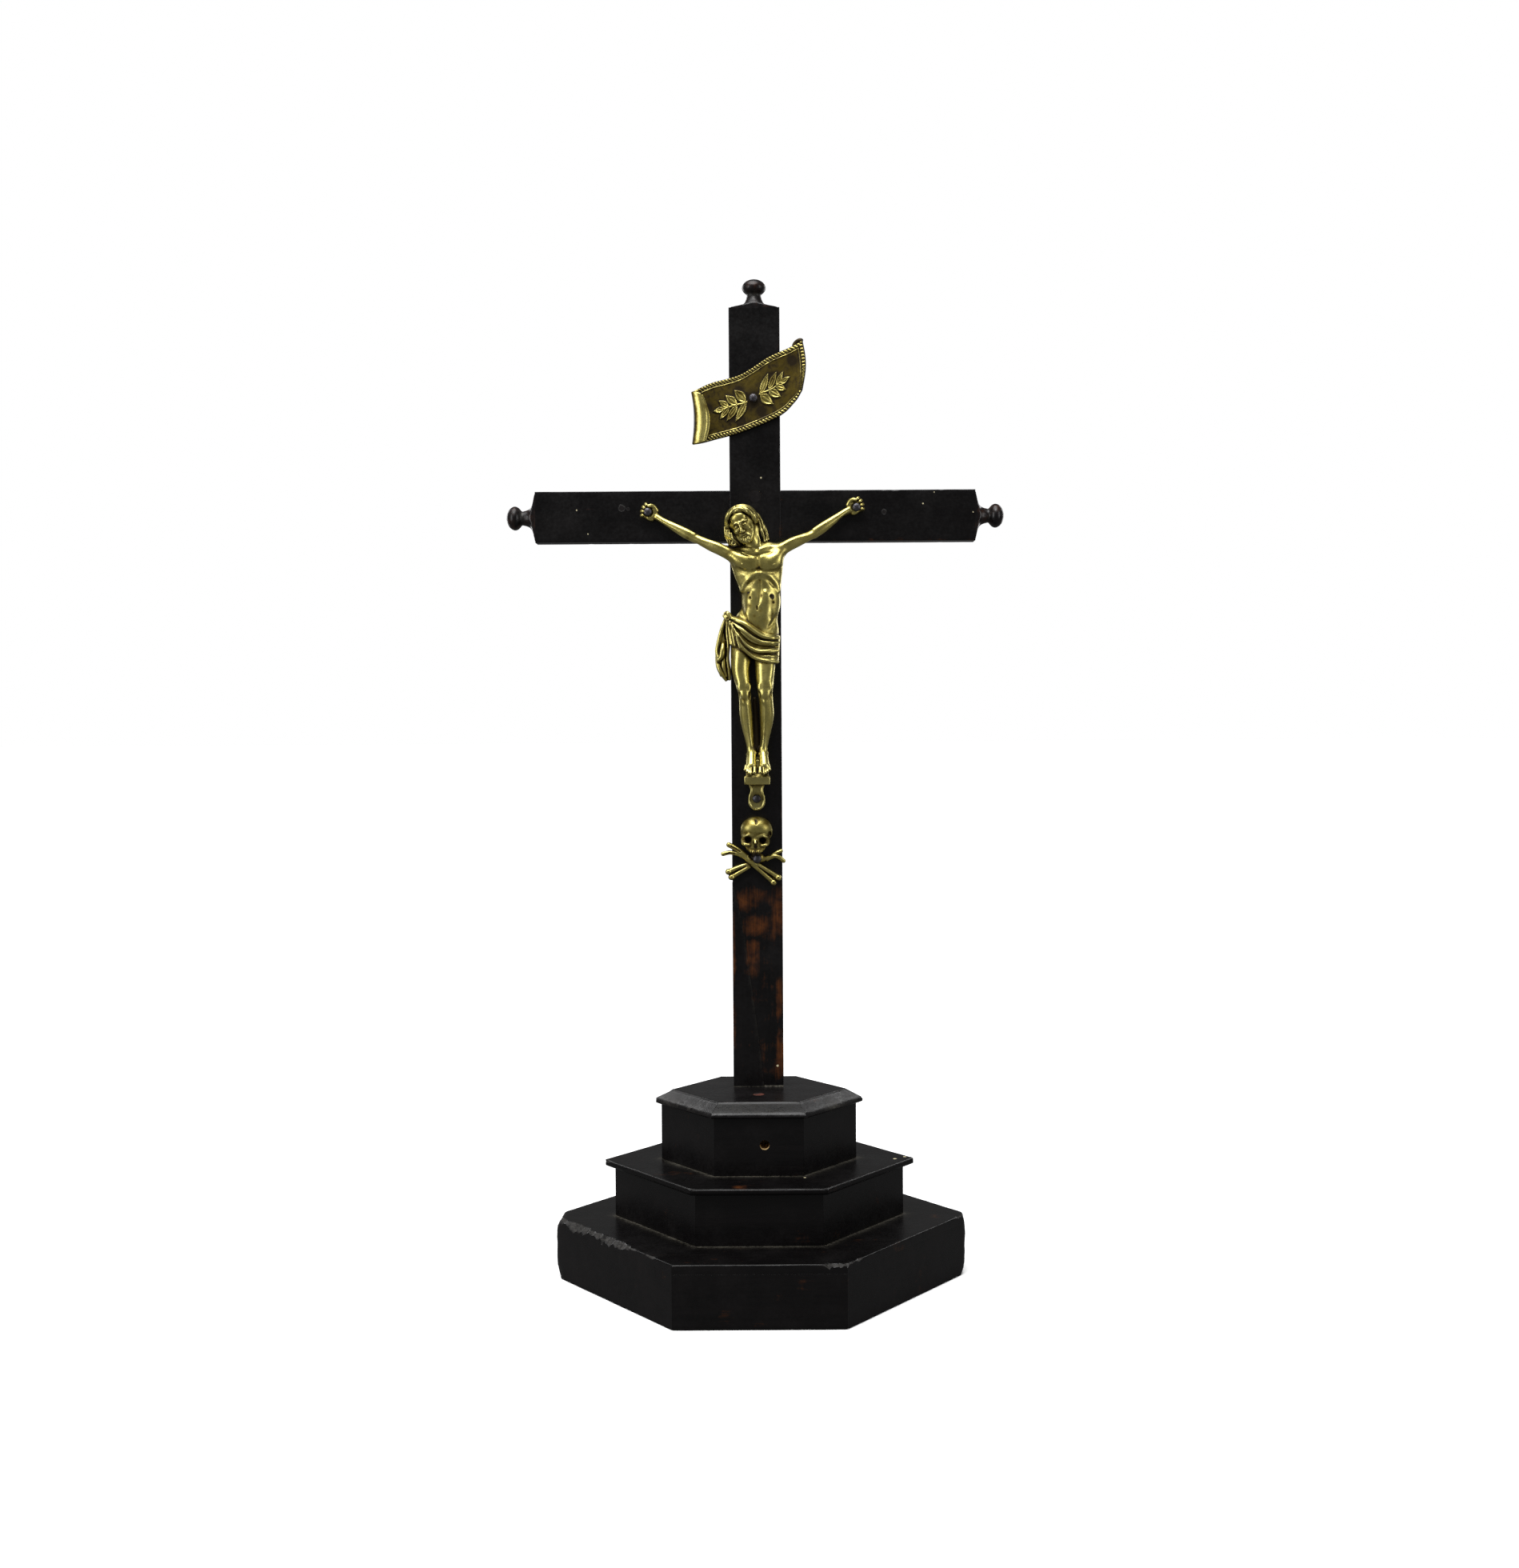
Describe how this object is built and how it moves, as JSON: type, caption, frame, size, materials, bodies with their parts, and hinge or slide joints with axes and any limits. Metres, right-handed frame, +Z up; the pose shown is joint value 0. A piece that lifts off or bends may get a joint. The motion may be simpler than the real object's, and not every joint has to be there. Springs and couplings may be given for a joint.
{
  "type": "altar cross",
  "caption": "Standing altar cross: blackened wooden cross with turned finials, brass figure, scroll and skull mounts, on a stepped hexagonal plinth of mitred boards.",
  "frame": {"origin": "middle of the plinth's underside, on the surface it stands on", "axes": "+Z up along the shaft, +X to the viewer's right along the crossbar, -Y towards the viewer (the figure's side)"},
  "size_m": [0.2224, 0.147, 0.4452],
  "materials": {
    "black_wood": "ebonised hardwood, satin wax, worn to red-brown at the shaft's foot",
    "core_wood": "plain unfinished softwood",
    "plug_wood": "red-brown wooden pegs, matt",
    "brass": "cast brass, hand-polished high spots, dark patina in the recesses",
    "iron": "hand-forged iron nails, dark and slightly rusted"
  },
  "bodies": {
    "root": {"lower_side_front": "black_wood", "lower_side_front_right": "black_wood", "lower_side_back_right": "black_wood", "lower_side_back": "black_wood", "lower_side_back_left": "black_wood", "lower_side_front_left": "black_wood", "lower_tread_front": "black_wood", "lower_tread_front_right": "black_wood", "lower_tread_back_right": "black_wood", "lower_tread_back": "black_wood", "lower_tread_back_left": "black_wood", "lower_tread_front_left": "black_wood", "middle_side_front": "black_wood", "middle_side_front_right": "black_wood", "middle_side_back_right": "black_wood", "middle_side_back": "black_wood", "middle_side_back_left": "black_wood", "middle_side_front_left": "black_wood", "middle_tread_front": "black_wood", "middle_tread_front_right": "black_wood", "middle_tread_back_right": "black_wood", "middle_tread_back": "black_wood", "middle_tread_back_left": "black_wood", "middle_tread_front_left": "black_wood", "upper_side_front": "black_wood", "upper_side_front_right": "black_wood", "upper_side_back_right": "black_wood", "upper_side_back": "black_wood", "upper_side_back_left": "black_wood", "upper_side_front_left": "black_wood", "cap_moulding_front": "black_wood", "cap_moulding_front_right": "black_wood", "cap_moulding_back_right": "black_wood", "cap_moulding_back": "black_wood", "cap_moulding_back_left": "black_wood", "cap_moulding_front_left": "black_wood", "base_board": "core_wood", "core_lower": "core_wood", "core_middle": "core_wood", "core_upper": "core_wood", "cap_panel": "black_wood", "cap_plug": "plug_wood", "shaft": "black_wood", "shaft_repair": "black_wood", "crossbar": "black_wood", "lap_peg": "plug_wood", "finial_top": "black_wood", "finial_left": "black_wood", "finial_right": "black_wood", "corpus": "brass", "titulus": "brass", "skull_and_bones": "brass", "nail_titulus": "iron", "nail_left_hand": "iron", "nail_right_hand": "iron", "nail_foot": "iron", "nail_skull": "iron"}
  },
  "joints": []
}
